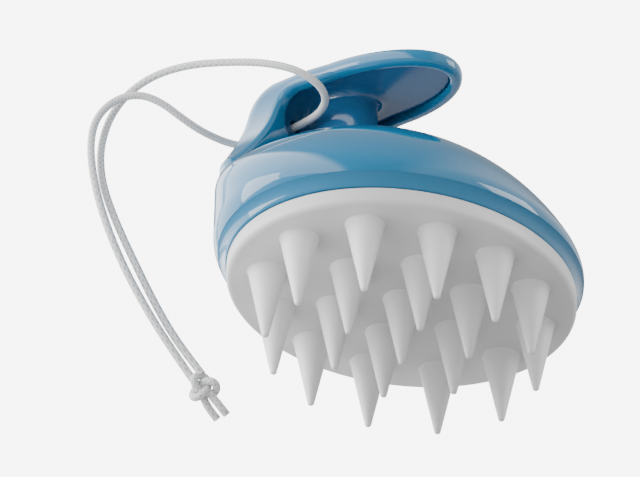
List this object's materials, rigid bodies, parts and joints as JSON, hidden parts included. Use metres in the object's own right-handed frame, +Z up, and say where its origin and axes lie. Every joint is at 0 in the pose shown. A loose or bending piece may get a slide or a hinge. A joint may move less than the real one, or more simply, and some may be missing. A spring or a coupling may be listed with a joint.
{
  "type": "scalp massager brush",
  "caption": "Hand-held scalp massager brush: oval domed body with a hooked finger handle, soft cone bristles on a pull-off pad and a knotted wrist cord.",
  "frame": {"origin": "centre of the plane that the bristle tips stand on", "axes": "+Z up from the tips to the handle, X along the body's longer axis, -Y towards the tongue's nose, +Y towards the handle's neck"},
  "size_m": [0.0958, 0.108, 0.0886],
  "materials": {
    "blue_shell": "polished blue ABS",
    "blue_liner": "polished blue ABS",
    "white_pad": "satin white plastic",
    "white_carrier": "satin white plastic",
    "white_silicone": "soft satin silicone",
    "grey_cord": "braided polyester"
  },
  "bodies": {
    "shell": {"upper_shell": "blue_shell", "handle_liner": "blue_liner", "cord_front": "grey_cord", "cord_rear": "grey_cord", "cord_knot": "grey_cord", "cord_tail_a": "grey_cord", "cord_tail_b": "grey_cord"},
    "pad": {"pad_face": "white_pad", "pad_carrier": "white_carrier", "bristle_01": "white_silicone", "bristle_02": "white_silicone", "bristle_03": "white_silicone", "bristle_04": "white_silicone", "bristle_05": "white_silicone", "bristle_06": "white_silicone", "bristle_07": "white_silicone", "bristle_08": "white_silicone", "bristle_09": "white_silicone", "bristle_10": "white_silicone", "bristle_11": "white_silicone", "bristle_12": "white_silicone", "bristle_13": "white_silicone", "bristle_14": "white_silicone", "bristle_15": "white_silicone", "bristle_16": "white_silicone", "bristle_17": "white_silicone", "bristle_18": "white_silicone", "bristle_19": "white_silicone"}
  },
  "joints": [
    {"name": "pad_pull", "type": "slide", "parent": "shell", "child": "pad", "axis": [0, 0, -1], "range_m": [0, 0.03]}
  ]
}
